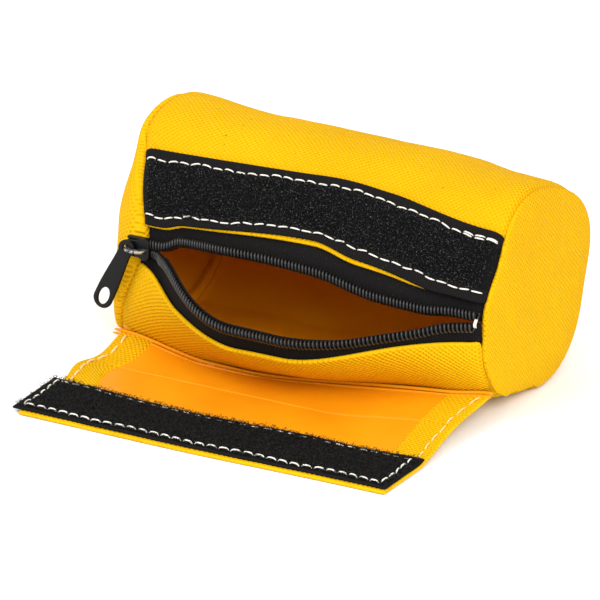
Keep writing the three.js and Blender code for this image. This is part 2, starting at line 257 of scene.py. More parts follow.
def hook_high(x):
    """Barrel angle of the hook strip's upper edge."""
    wave = 5.6 * hump(x, 8, 45) - 1.0 * hump(x, -15, 20) - 3.2 * hump(x, 42, 30)
    return 57.8 - 5.8 * rising(x, 25, 44) + wave


def panel_edge(x):
    """Barrel angle of the main panel's folded edge, which shows below the hook strip but at the right end."""
    return hook_low(x) - 0.6 - 2.2 * hump(x, 2, 30) + 2.6 * rising(x, 38, 24)


BOTTOM_STEPS = 26


def main_surface(x):
    """Grid of main panel points: x by the way from the zip over the top to the flap seam."""
    x = x[:, None]
    share = np.linspace(0.0, 1.0, 150)[None]
    angles = panel_edge(x) + (270.0 - panel_edge(x)) * share
    section = bottom_curve(BOTTOM_STEPS)
    low_angles = np.degrees(np.arctan2(section[0][:, 1] - CENTRE, -section[0][:, 0]))[None] % 360.0
    low = dressed(x, [part[None] for part in section], low_angles, 0.0)
    low[..., 2] += rising(low_angles, 272, 46) * seam_height(x)
    grid = np.concatenate([on_barrel(x, angles), low], 1)
    grid[..., 2] = np.maximum(grid[..., 2], TABLE_GAP)
    return grid


def panel_length():
    """Length of the main panel's cut cloth: round the plain barrel and along the bottom to the flap seam."""
    over_the_top = ellipse(np.linspace(panel_edge(0.0), 270.0, 120))[0]
    return way_along(np.concatenate([over_the_top, bottom_curve(BOTTOM_STEPS)[0]]))[-1]


# --- The lower lip ---

LIP_TOP = np.array([-38.4, 32.0])
LIP_ZIP = np.array([-38.4, ZIP_HEIGHT - COIL_SPACING / 2])
LIP_BULGE = 3.7


def lip_edge(x):
    """Folded top edge of the lower front panel with the zip shut, as (y, z)."""
    bulge = LIP_BULGE * rising(x, -72, 30) * smooth((70.0 - x) / 66.0)
    left_drop = 3.6 * smooth(-x / 50.0) * (1.0 - rising(-x, 44, 20)) - rising(-x, 50, 15)
    drop = 0.6 + left_drop + 1.2 * smooth(x / 60.0)
    return np.stack([LIP_TOP[0] - bulge, LIP_TOP[1] - drop], -1)


def lip_coil(x):
    """Centre of the lower coil with the zip shut, as (y, z). Its left end dips inwards, into the slider."""
    return np.stack([LIP_ZIP[0] + 3.0 * rising(-x, 53, 8), LIP_ZIP[1] + zip_rise(x)], -1)


def lip_share(x):
    """How much of the lip's turn each place makes: none at the corners of the mouth and all of it between."""
    left, right = (smooth((x - shut) / (wide - shut)) for shut, wide in (MOUTH_LEFT, MOUTH_RIGHT))
    return np.where(x < MOUTH_MIDDLE, left, right)


def closed_lip(x, t):
    """Lower front panel with the zip shut: t runs from the flap seam to the folded edge.

    It starts where the lean about the turning line brings it back on to the seam.
    """
    middle = hump(x, MOUTH_MIDDLE, 42)
    lean = LIP_OPEN * lip_share(x)
    low = SEAM + np.stack([np.sin(lean), np.cos(lean)], -1) * seam_height(x)[..., None]
    high = lip_edge(x)
    control = np.stack([-40.5 - 2.2 * middle, 19.0 + 0.4 * seam_height(x)], -1)
    t = t[..., None]
    return (1 - t) ** 2 * low + 2 * t * (1 - t) * control + t**2 * high


def opened(x, yz, angle):
    """Leans closed lip points out about the flap seam, and draws them in at the left end."""
    lean = LIP_OPEN * lip_share(x)
    dy, dz = yz[..., 0] - SEAM[0], yz[..., 1] - SEAM[1]
    y = SEAM[0] + dy * np.cos(lean) - dz * np.sin(lean)
    z = SEAM[1] + dy * np.sin(lean) + dz * np.cos(lean)
    return np.stack([x + pinch(x, angle), y, np.maximum(z, 0.3)], -1)


def lip_surface(x, t):
    x, t = np.broadcast_arrays(x[:, None], t[None])
    points = opened(x, closed_lip(x, t), -38.0 + 34.0 * t)
    left_turn = 1.0 - np.clip((HALF_LENGTH + x) / 9.0, 0.0, 1.0)
    side = np.where(x < 0.0, 4.0 * (1.0 - np.sqrt(1.0 - left_turn**2)), roll_in(x))
    drawn_in = corner_in(x) * np.clip(1.0 - t, 0.0, 1.0) ** 1.5
    points[..., 1] += side * np.cos(LIP_OPEN * lip_share(x)) + drawn_in
    return points


def lip_tape(x, share):
    """Lower zip tape: share runs from 0 behind the folded edge to 1 behind the coil."""
    low, high = lip_edge(x), lip_coil(x)
    along = unit(high - low)
    behind = np.stack([along[..., 1], -along[..., 0]], -1)
    share = share[..., None]
    return opened(x, low + (high - low) * share + behind * (1.7 - 0.5 * share), 0.0)


# --- Mesh building ---


def linked(name, data):
    """A new object round some data, in the scene."""
    made = bpy.data.objects.new(name, data)
    bpy.context.collection.objects.link(made)
    return made


def new_object(name, vertices, faces, uv=None, materials=(), face_materials=None):
    mesh = bpy.data.meshes.new(name)
    mesh.from_pydata((np.asarray(vertices) * MM).tolist(), [], faces)
    if uv is not None:
        layer = mesh.uv_layers.new(name="cloth")
        loops = np.empty(len(mesh.loops), int)
        mesh.loops.foreach_get("vertex_index", loops)
        layer.data.foreach_set("uv", np.asarray(uv, np.float32)[loops].ravel())
    for material in materials:
        mesh.materials.append(material)
    if face_materials is not None:
        mesh.polygons.foreach_set("material_index", np.asarray(face_materials, np.int32))
    mesh.polygons.foreach_set("use_smooth", np.ones(len(mesh.polygons), bool))
    mesh.update()
    return linked(name, mesh)


def face_outwards(piece):
    form = bmesh.new()
    form.from_mesh(piece.data)
    bmesh.ops.recalc_face_normals(form, faces=form.faces)
    form.to_mesh(piece.data)
    form.free()
    return piece


def grid_faces(index):
    a, b, c, d = index[:-1, :-1], index[1:, :-1], index[1:, 1:], index[:-1, 1:]
    return np.stack([a, b, c, d], -1).reshape(-1, 4)


SIDES = {"start_u": (0, -1), "end_u": (0, 1), "start_v": (1, -1), "end_v": (1, 1)}


FOLD_STEPS = 4


def border(array, side):
    """The row of a grid along one of its sides."""
    axis, way = SIDES[side]
    return np.take(array, 0 if way < 0 else -1, axis=axis)


def thick_sheet(name, outer, uv, thickness, materials, round_sides=(), top_materials=None, flip=False):
    """A closed cloth with two faces, rounded folds along round_sides and plain cuts along its other sides.

    outer is a grid of points, and the cloth's thickness goes behind it. The first material is on the outer
    face and the folds, the second on the inner face and the last on the plain cuts. top_materials may give a
    slot for each outer face instead.
    """
    along_u, along_v = np.gradient(outer, axis=0), np.gradient(outer, axis=1)
    normal = unit(np.cross(along_u, along_v)) * (-1 if flip else 1)
    inner = outer - normal * np.asarray(thickness)[..., None]
    count = outer.shape[0] * outer.shape[1]
    index = np.arange(count).reshape(outer.shape[:2])
    vertices, uvs = [outer.reshape(-1, 3), inner.reshape(-1, 3)], [uv.reshape(-1, 2)] * 2
    faces = [grid_faces(index), grid_faces(index + count)]
    top = np.zeros(len(faces[0]), int) if top_materials is None else top_materials.ravel()
    slots, total = [top, np.ones(len(faces[1]), int)], 2 * count
    outward = np.zeros_like(outer)
    for side in round_sides:
        axis, way = SIDES[side]
        edge = [slice(None), slice(None)]
        edge[axis] = 0 if way < 0 else -1
        outward[tuple(edge)] += way * unit((along_u, along_v)[axis][tuple(edge)])
    for side in round_sides:
        top, low, away = border(outer, side), border(inner, side), unit(border(outward, side))
        middle, half = (top + low) / 2, (top - low) / 2
        reach = np.linalg.norm(half, axis=-1, keepdims=True)
        rows = [border(index, side)]
        for step in range(1, FOLD_STEPS):
            turn = math.pi * step / FOLD_STEPS
            vertices.append(middle + half * math.cos(turn) + away * reach * math.sin(turn))
            uvs.append(border(uv, side))
            rows.append(np.arange(total, total + len(top)))
            total += len(top)
        faces.append(grid_faces(np.stack([*rows, border(index, side) + count])))
        slots.append(np.zeros(len(faces[-1]), int))
    folded = sum(len(part) for part in faces)
    for side in [side for side in SIDES if side not in round_sides]:
        faces.append(grid_faces(np.stack([border(index, side), border(index, side) + count])))
        slots.append(np.full(len(faces[-1]), len(materials) - 1))
    faces, slots = np.concatenate(faces), np.concatenate(slots)
    points, uvs = np.concatenate(vertices), np.concatenate(uvs)
    piece = new_object(name, points, faces.tolist(), uvs, materials, slots)
    piece.data.polygons.foreach_set("use_smooth", np.arange(len(faces)) < folded)
    return face_outwards(piece)


def thick_cap(name, pole, rings, thickness, materials, flip=False):
    """A closed cloth that spreads from a pole through rings of points. Its weave lies along Y and Z."""
    count, total = rings.shape[1], 1 + rings.shape[0] * rings.shape[1]
    closed = np.concatenate([rings[:, -1:], rings, rings[:, :1]], 1)
    along, across = np.gradient(closed, axis=0)[:, 1:-1], np.gradient(closed, axis=1)[:, 1:-1]
    normal = unit(np.cross(along, across)) * (-1 if flip else 1)
    pole_normal = unit(normal[0].mean(0))
    inner = np.concatenate([[pole - pole_normal * thickness], (rings - normal * thickness).reshape(-1, 3)])
    outer = np.concatenate([[pole], rings.reshape(-1, 3)])
    index = 1 + np.arange(total - 1).reshape(-1, count)
    index = np.concatenate([index, index[:, :1]], 1)
    fan = [[0, a, b] for a, b in zip(index[0, :-1].tolist(), index[0, 1:].tolist())]
    face = fan + grid_faces(index).tolist()
    back = [[corner + total for corner in reversed(ring)] for ring in face]
    edge = grid_faces(np.stack([index[-1], index[-1] + total])).tolist()
    vertices = np.concatenate([outer, inner])
    slots = [0] * len(face) + [1] * len(back) + [0] * len(edge)
    piece = new_object(name, vertices, face + back + edge, vertices[:, 1:], materials, slots)
    return face_outwards(piece)


def across_and_up(paths, reference):
    """Directions across and up at each point of some paths."""
    tangent = unit(np.gradient(paths, axis=-2))
    across = unit(np.cross(tangent, np.broadcast_to(reference, paths.shape)))
    return across, np.cross(across, tangent)


def rods(name, rings, material):
    """Closed rods, as one mesh. rings is (rods, points along them, points round them, 3)."""
    index = np.arange(rings[..., 0].size).reshape(rings.shape[:3])
    following = np.roll(index, -1, axis=2)
    walls = np.stack([index[:, :-1], following[:, :-1], following[:, 1:], index[:, 1:]], -1)
    faces = walls.reshape(-1, 4).tolist() + index[:, 0, ::-1].tolist() + index[:, -1].tolist()
    return new_object(name, rings.reshape(-1, 3), faces, materials=[material])


def tubes(name, paths, radius, reference, material, sides=6):
    """Round rods along many paths. paths is (rods, points, 3), and radius may differ along them."""
    across, up = across_and_up(paths, reference)
    radius = np.broadcast_to(radius, paths.shape[:2])[..., None]
    rings = []
    for side in range(sides):
        turn = 2 * math.pi * side / sides
        rings.append(paths + (across * math.cos(turn) + up * math.sin(turn)) * radius)
    return rods(name, np.stack(rings, 2), material)


def bar(name, path, width, height, reference, material):
    """A flat bar with rounded edges, swept along a path."""
    path = np.array(path)
    across, up = across_and_up(path, reference)
    turns = np.linspace(0.0, 2 * math.pi, 16, endpoint=False)
    wide, tall = (np.sign(part) * np.abs(part) ** 0.5 for part in (np.cos(turns), np.sin(turns)))
    rings = path[:, None] + across[:, None] * (wide * width / 2)[None, :, None]
    rings = rings + up[:, None] * (tall * height / 2)[None, :, None]
    return rods(name, rings[None], material)


def described(piece, slot, nodes):
    """Hides the CAD nodes that a piece stands for. The slot is not used."""
    if nodes:
        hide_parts(*nodes)
    return piece


def finished(piece, body, slot, *nodes):
    """A piece that moves with one body."""
    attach(piece, body)
    return described(piece, slot, nodes)


def blended(piece, a, b, start, end, slot, *nodes):
    """A piece with its transform baked in. It does not bend, and bodies a and b, start and end are not used.
    """
    tuple(np.array(start) * MM)
    tuple(np.array(end) * MM)
    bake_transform(piece)
    return described(piece, slot, nodes)


# --- Materials ---


class Surface:
    """A node material built around one Principled shader."""

    def __init__(self, name, **sockets):
        self.material = bpy.data.materials.new(name)
        self.material.use_nodes = True
        self.tree = self.material.node_tree
        self.shader = self.tree.nodes["Principled BSDF"]
        for socket, value in sockets.items():
            label = socket.replace("_", " ").title().replace("Ior", "IOR")
            self.shader.inputs[label].default_value = value

    def node(self, kind, inputs=(), **settings):
        made = self.tree.nodes.new(kind)
        for setting, value in settings.items():
            setattr(made, setting, value)
        for socket, value in dict(inputs).items():
            if isinstance(value, bpy.types.NodeSocket):
                self.tree.links.new(value, made.inputs[socket])
            else:
                made.inputs[socket].default_value = value
        return made

    def math(self, operation, *values):
        return self.node("ShaderNodeMath", enumerate(values), operation=operation).outputs[0]

    def cloth(self):
        """Distances along the cloth, in millimetres."""
        where = self.node("ShaderNodeUVMap", uv_map="cloth").outputs["UV"]
        parts = self.node("ShaderNodeSeparateXYZ", {0: where})
        return parts.outputs["X"], parts.outputs["Y"]

    def noise(self, size_mm, detail=3.0, roughness=0.55):
        """Noise with features about size_mm across."""
        where = self.node("ShaderNodeTexCoord").outputs["Object"]
        inputs = {"Vector": where, "Scale": 1.0 / (size_mm * MM), "Detail": detail, "Roughness": roughness}
        return self.node("ShaderNodeTexNoise", inputs).outputs["Fac"]

    def ramp(self, factor, *stops):
        made = self.node("ShaderNodeValToRGB", {"Fac": factor})
        elements = made.color_ramp.elements
        while len(elements) < len(stops):
            elements.new(0.5)
        for element, (position, colour) in zip(elements, stops):
            element.position = position
            element.color = (*colour, 1.0)
        return made.outputs["Color"]

    def mix(self, blend, a, b):
        """Two colours joined whole. Sockets 0, 6 and 7 are the factor and the colours."""
        made = self.node("ShaderNodeMix", {0: 1.0, 6: a, 7: b}, data_type="RGBA", blend_type=blend)
        return made.outputs[2]

    def wave(self, distance, pitch):
        return self.math("SINE", self.math("MULTIPLY", distance, 2 * math.pi / pitch))

    def set(self, socket, value):
        self.tree.links.new(value, self.shader.inputs[socket])

    def colour(self, factor, *stops):
        self.set("Base Color", self.ramp(factor, *stops))

    def bump(self, height, depth_mm, strength=1.0):
        inputs = {"Height": height, "Distance": depth_mm * MM, "Strength": strength}
        self.set("Normal", self.node("ShaderNodeBump", inputs).outputs["Normal"])


WEAVE_PITCH = 1.8
RIB_PITCH = 0.9
FINE_RIB_PITCH = 0.55


def grey(value):
    return (value, value, value)


def weave(surface):
    """Height of a plain weave, from 0.5 to 1.5: raised threads that cross like a chequerboard."""
    waver = surface.math("MULTIPLY", surface.math("SUBTRACT", surface.noise(9.0), 0.5), 1.2)
    u, v = (surface.math("ADD", way, waver) for way in surface.cloth())
    crossing = surface.math("MULTIPLY", surface.wave(u, WEAVE_PITCH), surface.wave(v, WEAVE_PITCH))
    return surface.math("MULTIPLY_ADD", crossing, 0.5, 1.0)


def saffron_weave():
    """Dull woven thread, with painted shade between the raised threads, broad random changes of tone and a
    few dark specks.
    """
    surface = Surface("saffron_weave", roughness=0.8, specular_ior_level=0.05)
    height = weave(surface)
    # Painted shade: the colour darkens towards the low parts of the weave, between the raised threads.
    thread = surface.ramp(height, (0.5, (0.66, 0.315, 0.0)), (0.78, (0.80, 0.45, 0.003)))
    broad = surface.ramp(surface.noise(45.0), (0.3, (0.95, 0.90, 0.8)), (0.7, grey(1.0)))
    speck = surface.ramp(surface.noise(3.2, 1.0), (0.80, grey(1.0)), (0.84, (0.45, 0.30, 0.2)))
    shaded = surface.mix("MULTIPLY", thread, broad)
    surface.set("Base Color", surface.mix("MULTIPLY", shaded, speck))
    yarn = surface.math("MULTIPLY", surface.noise(0.35), 0.35)
    surface.bump(surface.math("ADD", height, yarn), 0.55)
    return surface.material


def saffron_coating():
    """Smooth coating of the cloth's inner face, with soft creases and a trace of the weave."""
    surface = Surface("saffron_coating", roughness=0.5, specular_ior_level=0.2)
    surface.colour(surface.noise(30.0), (0.25, (0.76, 0.25, 0.001)), (0.75, (0.80, 0.32, 0.002)))
    creases = surface.math("MULTIPLY", surface.noise(14.0), 3.0)
    surface.bump(surface.math("ADD", weave(surface), creases), 0.06, 0.35)
    return surface.material


def black_tape():
    """Woven selvage with ribs across the tape, and painted shade in the hollows between the ribs."""
    surface = Surface("black_tape", roughness=0.9, specular_ior_level=0.07)
    u, v = surface.cloth()
    ribs = surface.math("MULTIPLY_ADD", surface.wave(u, RIB_PITCH), 0.5, 1.0)
    fine = surface.math("MULTIPLY", surface.wave(v, FINE_RIB_PITCH), 0.25)
    height = surface.math("ADD", ribs, fine)
    # Painted shade: the colour is darker in the hollows between the ribs.
    shade = surface.ramp(height, (0.1, grey(0.002)), (0.9, (0.010, 0.009, 0.009)))
    dust = surface.ramp(surface.noise(0.8, 2.0), (0.68, grey(0.0)), (0.8, (0.04, 0.038, 0.035)))
    surface.set("Base Color", surface.mix("ADD", shade, dust))
    surface.bump(height, 0.12, 0.7)
    return surface.material


def black_pile_painted_glints():
    surface = Surface("black_pile_painted_glints", roughness=0.85, specular_ior_level=0.15)
    # The pale specks in the colour are painted glints on the pile.
    surface.colour(surface.noise(0.7, 3.0, 0.7), (0.58, grey(0.001)), (0.76, (0.05, 0.048, 0.045)))
    surface.bump(surface.noise(0.6, 4.0, 0.7), 0.6)
    return surface.material


def black_fibre(name, painted_glint_grey):
    surface = Surface(name, roughness=0.4, specular_ior_level=0.3)
    # The pale patches in the colour are painted glints.
    surface.colour(surface.noise(0.9, 2.0, 0.7), (0.5, grey(0.003)), (0.72, grey(painted_glint_grey)))
    return surface.material


def black_nylon():
    surface = Surface("black_nylon", roughness=0.33, specular_ior_level=0.55)
    surface.colour(surface.noise(3.0), (0.3, grey(0.004)), (0.7, grey(0.010)))
    surface.bump(surface.noise(0.25), 0.03, 0.4)
    return surface.material


def enamel():
    """Black enamel with small chips and a fine orange-peel surface."""
    surface = Surface("black_enamel", roughness=0.4, specular_ior_level=0.2)
    surface.colour(surface.noise(1.4, 4.0, 0.75), (0.70, grey(0.003)), (0.76, grey(0.06)))
    surface.bump(surface.noise(0.5), 0.04, 0.5)
    return surface.material


def worn_metal():
    """Bridge of the slider, where the pull has rubbed the enamel off."""
    surface = Surface("worn_metal", metallic=0.85)
    wear = surface.noise(1.1, 4.0, 0.7)
    surface.colour(wear, (0.42, grey(0.02)), (0.52, (0.42, 0.42, 0.41)))
    surface.set("Roughness", surface.ramp(wear, (0.42, grey(0.35)), (0.6, grey(0.22))))
    surface.bump(surface.noise(0.4), 0.05, 0.5)
    return surface.material


def thread(name, shaded, lit):
    """Plied sewing thread."""
    surface = Surface(name, roughness=0.72, sheen_weight=0.3)
    twist = surface.noise(0.45, 2.0, 0.6)
    surface.colour(twist, (0.3, shaded), (0.7, lit))
    surface.bump(twist, 0.12, 0.8)
    return surface.material


WOVEN, COATED = saffron_weave(), saffron_coating()
TAPE, PILE = black_tape(), black_pile_painted_glints()
HOOK_FIBRE, LOOP_FIBRE = black_fibre("hook_fibre", 0.16), black_fibre("loop_fibre", 0.03)
NYLON, ENAMEL, METAL = black_nylon(), enamel(), worn_metal()
WHITE_THREAD = thread("white_thread", (0.62, 0.58, 0.48), (0.90, 0.87, 0.79))
CREAM_THREAD = thread("cream_thread", (0.70, 0.47, 0.14), (0.88, 0.68, 0.32))


# --- Stitches ---


def stitches(name, place, length, lift, normal_at, thick=THREAD, cover=0.86, look=WHITE_THREAD):
    """A row of separate stitches, each of which covers a share of its pitch.

    place(distances) gives surface points, and normal_at(distances) their normals.
    """
    count = int(length / STITCH_PITCH)
    starts = (np.arange(count) + 0.5) * length / count
    share = np.linspace(-0.5, 0.5, 7)
    distances = starts[:, None] + share[None] * (STITCH_PITCH * cover)
    sway = rng.normal(0.0, 0.16, (count, 1)) * 2 * share[None] + rng.normal(0.0, 0.10, (count, 1))
    points, normals = place(distances), normal_at(distances)
    forward = unit(np.gradient(points, axis=1))
    sideways = np.cross(normals, forward)
    height = lift * (1.0 - np.abs(2 * share) ** 3.0) - 0.25 * np.abs(2 * share) ** 6.0
    paths = points + sideways * sway[..., None] + normals * height[None, :, None]
    radius = thick * (1.0 - 0.35 * np.abs(2 * share) ** 4.0)
    return tubes(name, paths, radius[None], normals, look, sides=8)


def in_section(directions):
    """Directions across the barrel, from (y, z) to (x, y, z)."""
    return np.concatenate([np.zeros((*directions.shape[:-1], 1)), directions], -1)


def barrel_normals(angle):
    return in_section(ellipse(angle)[1])


# --- Body ---


def spaced(low, high, step, *dense):
    """Positions about step apart, with finer steps round each dense place."""
    plain = np.linspace(low, high, round((high - low) / step) + 1)
    fine = [at + np.linspace(-2.4, 2.4, 13) for at in dense]
    every = np.concatenate([plain, *fine])
    return np.unique(np.round(every[(every >= low) & (every <= high)], 3))


CLOTH_STEP = 1.6
ENDS = (-HALF_LENGTH, HALF_LENGTH)


def make_main_panel():
    x = spaced(*ENDS, CLOTH_STEP, *ENDS)
    grid = main_surface(x)
    dents = crumple(grid, 24, 3) * 0.8 + crumple(grid, 9, 8) * 0.22
    inside = smooth((HALF_LENGTH - np.abs(x)) / 14.0)[:, None]
    middle = np.array([0.0, 0.0, CENTRE])
    away = unit((grid - middle) * np.array([0.0, 1.0, 1.0]))
    grid += away * (dents * (0.25 + 0.75 * inside))[..., None]
    grid[..., 2] = np.maximum(grid[..., 2], 0.8 * TABLE_GAP)
    uv = cloth_uv(x, way_along(grid[len(x) // 2]))
    piece = thick_sheet("main_panel_cloth", grid, uv, CLOTH, [WOVEN, COATED], round_sides=("start_v",))
    return finished(piece, "pouch_body", "saffron_fabric", "main_panel")


def end_rim(side):
    """Closed outline of an end seam, from the main panel's front edge round to the lip and back."""
    x = np.array([side * HALF_LENGTH])
    main = main_surface(x)[0]
    lip = lip_surface(x, np.linspace(0.0, 1.0, 30))[0][1:]
    gap = on_barrel(x, np.linspace(-3.0, float(panel_edge(x)[0]), 12)[1:])
    outline = np.concatenate([main, lip, gap])
    way = way_along(outline)
    even = np.linspace(0.0, way[-1], RIM_POINTS, endpoint=False)
    return softened(np.stack([np.interp(even, way, outline[:, axis]) for axis in range(3)], -1), 1.6)


def softened(ring, width):
    """A closed ring of values with its corners rounded over about width of its points."""
    lag = np.arange(-int(2.5 * width), int(2.5 * width) + 1)
    weights = hump(lag, 0, width)
    return sum(np.roll(ring, step, axis=0) * weight for step, weight in zip(lag, weights)) / weights.sum()


RIM_POINTS = 240
PUFF = 2.1  # radius of the cloth's roll over the end seam
EDGE_SHIFT = 1.1
FLAT_FACE = 10.0
END_RINGS = 26


def make_end_panel(side, name, node):
    """An end panel: a domed face that rolls over the seam. The left one is full, and the right one flat."""
    rim = end_rim(side)
    middle = np.array([side * HALF_LENGTH, 0.0, CENTRE + 1.5])
    run = np.roll(rim, -1, axis=0) - np.roll(rim, 1, axis=0)
    outward = unit(np.stack([-run[:, 2], run[:, 1]], -1))
    outward = unit(softened(outward, 3.0)) * np.sign((outward * (rim[:, 1:] - middle[1:])).sum())
    dome, fall = (10.5, 3.4) if side < 0 else (2.2, FLAT_FACE)
    depth = dome + side * (side * HALF_LENGTH - rim[:, 0])
    soft = softened(rim, 10.0)
    rings = []
    for share in 1.0 - (1.0 - np.linspace(0.0, 1.0, END_RINGS)[1:]) ** 1.8:
        corners = share**5
        outline = soft * (1.0 - corners) + rim * corners
        flat = middle[1:] + (outline[:, 1:] - middle[1:]) * share + outward * PUFF * share**FLAT_FACE
        out = outline[:, 0] + side * (EDGE_SHIFT + (depth - EDGE_SHIFT) * (1.0 - share**fall) ** 0.5)
        rings.append(np.concatenate([out[:, None], flat], -1))
    for turn in np.radians([30.0, 60.0, 90.0]):
        flat = rim[:, 1:] + outward * PUFF * math.cos(turn)
        out = rim[:, 0] + side * (EDGE_SHIFT - PUFF * math.sin(turn))
        rings.append(np.concatenate([out[:, None], flat], -1))
    grid = np.array(rings)
    folds = crumple(grid, 17, 5) * 1.0 + crumple(grid, 7, 1) * 0.3
    flatness = 1.0 - smooth((np.arange(len(rings)) - 14.0) / 8.0)
    grid[..., 0] += side * folds * flatness[:, None]
    grid[..., 2] = np.maximum(grid[..., 2], TABLE_GAP)
    pole = np.array([middle[0] + side * dome, *middle[1:]])
    piece = thick_cap(name, pole, grid, CLOTH * 0.5, [WOVEN, COATED], flip=side > 0)
    return finished(piece, "pouch_body", "saffron_fabric", node)


HOOK_TAPE = 1.2
HOOK_PROUD = 1.3
SELVAGE = 3.4
ALL_SIDES = tuple(SIDES)
LONG_SIDES = ("start_v", "end_v")
# Fibres run in every direction, so their sections are turned from a direction that none of them has
ODD_WAY = np.array([0.31, 0.52, 0.79])


def hook_angle(x, across):
    """Barrel angle at a distance across the hook strip from its lower edge."""
    return hook_low(x) + (hook_high(x) - hook_low(x)) * across / TAPE_WIDTH


def make_hook_strip():
    x = spaced(*ENDS, 1.5, *ENDS)
    across = np.linspace(0.0, TAPE_WIDTH, 26)
    angle = hook_angle(x[:, None], across[None])
    grid = on_barrel(x[:, None], angle, HOOK_PROUD)
    away = barrel_normals(angle)
    pile = smooth((across - SELVAGE) / 0.8) * smooth((TAPE_WIDTH - SELVAGE - across) / 0.8)
    grid += away * (0.45 * pile[None] + 0.25 * crumple(grid, 12, 2))[..., None]
    slots = np.where((across[:-1] > SELVAGE) & (across[:-1] < TAPE_WIDTH - SELVAGE), 2, 0)
    slots = np.broadcast_to(slots, (len(x) - 1, len(across) - 1))
    uv = cloth_uv(x, across)
    piece = thick_sheet("hook_tape", grid, uv, HOOK_TAPE, [TAPE, TAPE, PILE], LONG_SIDES, slots)
    return finished(piece, "pouch_body", "black_tape", "hook_strip")


def make_hooks():
    """Short bent hooks in rows over the middle of the tape."""
    rows = np.arange(SELVAGE + 0.6, TAPE_WIDTH - SELVAGE - 0.3, 0.62)
    columns = np.arange(-HALF_LENGTH + 3.0, HALF_LENGTH - 2.0, 0.95)
    x, across = (part.ravel() for part in np.meshgrid(columns, rows))
    x = x + rng.normal(0.0, 0.22, x.size)
    across = across + rng.normal(0.0, 0.16, across.size)
    angle = hook_angle(x, across)
    base = on_barrel(x, angle, HOOK_PROUD + 0.35)
    normal = barrel_normals(angle)
    uphill = in_section(ellipse(angle)[2])
    turn = rng.uniform(0.0, 2 * math.pi, x.size)[:, None]
    lean = uphill * np.cos(turn) + np.array([1.0, 0.0, 0.0]) * np.sin(turn)
    tall = rng.uniform(0.75, 1.2, x.size)[:, None]
    shape = ((0.0, 0.0), (0.08, 0.55), (0.30, 0.95), (0.62, 0.85), (0.68, 0.55))
    paths = np.stack([base + lean * reach * 0.9 + normal * rise * tall for reach, rise in shape], 1)
    piece = tubes("hook_pile", paths, 0.085, ODD_WAY, HOOK_FIBRE, sides=3)
    return finished(piece, "pouch_body", "black_tape")


def hook_row(name, start, length, across, offset, sway, proud, lift):
    """One stitch row along the hook strip, a little off its line across the strip."""

    def place(distance):
        x = start + distance
        wander = sway * (0.35 * np.sin(distance * 0.21 + across) + 0.2 * np.sin(distance * 0.63))
        return on_barrel(x, hook_angle(x, across + (wander + offset)), HOOK_PROUD + proud)

    def normals(distance):
        return barrel_normals(hook_angle(start + distance, across))

    return stitches(name, place, length, lift, normals)


def make_hook_stitching(name, across, node):
    """A stitch row along the hook strip. The upper one is sewn back over itself at its right end."""
    start, length = -HALF_LENGTH + 1.0, 2 * HALF_LENGTH - 2.0
    rows = [hook_row(name, start, length, across, 0.0, 1.0, 0.1, 0.42)]
    if across > TAPE_WIDTH / 2:
        back = 3 * STITCH_PITCH
        rows.append(hook_row(f"{name}_back", start + length - back, back, across, 0.5, 0.0, 0.2, 0.4))
    return finished(merged(name, rows), "pouch_body", "white_thread", node)


ZIP_TAPE = 0.7


def make_upper_zip_tape():
    x = spaced(-HALF_LENGTH + 0.4, HALF_LENGTH - 0.4, CLOTH_STEP)
    share = np.linspace(0.0, 1.0, 12)
    angle = 6.6 + (panel_edge(x[:, None]) + 4.0 - 6.6) * share[None]
    grid = on_barrel(x[:, None], angle, -1.9)
    uv = cloth_uv(x, share * 12.0)
    piece = thick_sheet("upper_zip_tape", grid, uv, ZIP_TAPE, [TAPE, TAPE], LONG_SIDES)
    return finished(piece, "pouch_body", "black_tape", "zip_tape_upper")


# --- Zip ---

COIL_PITCH = 1.3
COIL_HALF_HEIGHT = 1.45
COIL_HALF_DEPTH = 1.15
COIL_WIRE = 0.40
COIL_TURN_STEPS = 14
ALONG_X, ALONG_Y, ALONG_Z = np.eye(3)


def coil_path(x, centre, up, out):
    """A flattened helix round a line of centres."""
    turn = 2 * math.pi * x / COIL_PITCH
    rise = np.sign(np.cos(turn)) * np.abs(np.cos(turn)) ** 0.8 * COIL_HALF_HEIGHT
    depth = np.sin(turn) * COIL_HALF_DEPTH
    return centre + up * rise[:, None] + out * depth[:, None]


def upper_coil_centre(x):
    angle = math.degrees(math.asin((ZIP_HEIGHT + COIL_SPACING / 2 - CENTRE) / HALF_HEIGHT))
    return on_barrel(x, np.full_like(x, angle), 0.2)


def lower_coil_centre(x):
    return opened(x, lip_coil(x), 0.0)


def turned_axes(x):
    """Up and outward directions of the lip at each x."""
    lean = LIP_OPEN * lip_share(x)
    up = np.stack([-np.sin(lean), np.cos(lean)], -1)
    out = np.stack([-np.cos(lean), -np.sin(lean)], -1)
    return in_section(up), in_section(out)


def coil_positions(low, high):
    return np.linspace(low, high, int((high - low) / COIL_PITCH * COIL_TURN_STEPS) + 1)


def make_upper_coil():
    x = coil_positions(COIL_LOW[0] - 1.0, COIL_HIGH[0] + 2.4)
    path = coil_path(x, upper_coil_centre(x), ALONG_Z, -ALONG_Y)
    piece = tubes("upper_coil", path[None], COIL_WIRE, ALONG_X, NYLON)
    return finished(piece, "pouch_body", "zip_coil", "zip_coil_upper")


def lip_blend(piece, half, slot, node):
    """Half of a piece of the lip. The left half stands for the CAD node."""
    shut, wide = MOUTH_LEFT if half < 0 else MOUTH_RIGHT
    nodes = (node,) if half < 0 else ()
    return blended(piece, "pouch_body", "lower_lip", (shut, 0, 0), (wide, 0, 0), slot, *nodes)


OVERLAP = 3.0  # how far a length of cloth runs on under the next one
TUCK = 0.06  # and how far below it


